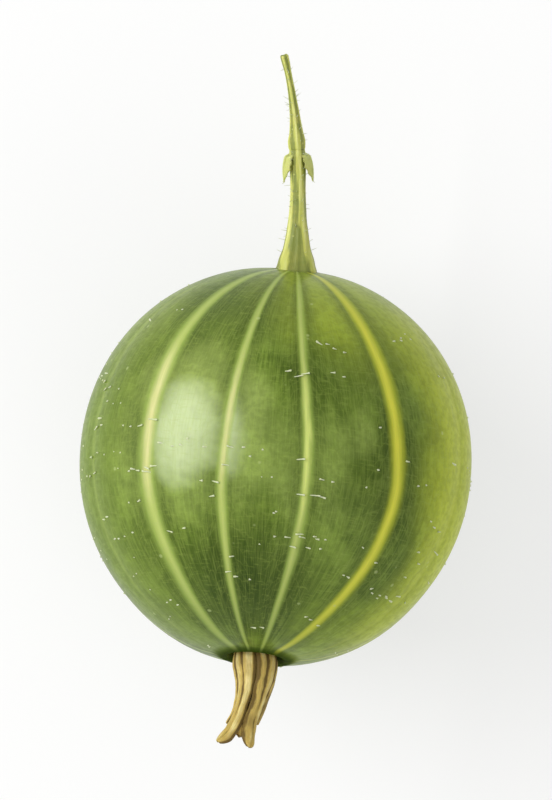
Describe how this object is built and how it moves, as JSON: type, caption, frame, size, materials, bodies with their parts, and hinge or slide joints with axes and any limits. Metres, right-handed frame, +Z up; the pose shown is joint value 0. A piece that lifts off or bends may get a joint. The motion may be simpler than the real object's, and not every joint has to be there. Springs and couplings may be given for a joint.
{
  "type": "gooseberry",
  "caption": "Round green gooseberry with pale veins, lying on its side as picked, with its thin stalk and bracts, and the withered flower on its far end.",
  "frame": {"origin": "middle of the small flat spot that the fruit lies on", "axes": "+Y along the fruit towards its stalk, the withered flower towards -Y, +Z up"},
  "size_m": [0.025, 0.0438, 0.0247],
  "materials": {
    "skin": "satin",
    "stalk": "satin",
    "bract": "matte",
    "dry_calyx": "matte",
    "dry_petal": "matte",
    "dry_thread": "matte"
  },
  "bodies": {
    "root": {"berry": "skin", "pedicel": "stalk", "peduncle": "stalk", "bract_left": "bract", "bract_right": "bract", "calyx_tube": "dry_calyx", "sepal_1": "dry_calyx", "sepal_2": "dry_calyx", "sepal_3": "dry_calyx", "sepal_4": "dry_calyx", "sepal_5": "dry_calyx", "petal_1": "dry_petal", "petal_2": "dry_petal", "petal_3": "dry_petal", "petal_4": "dry_petal", "petal_5": "dry_petal", "stamen_1": "dry_thread", "stamen_2": "dry_thread", "stamen_3": "dry_thread", "stamen_4": "dry_thread", "stamen_5": "dry_thread", "style": "dry_thread"}
  },
  "joints": []
}
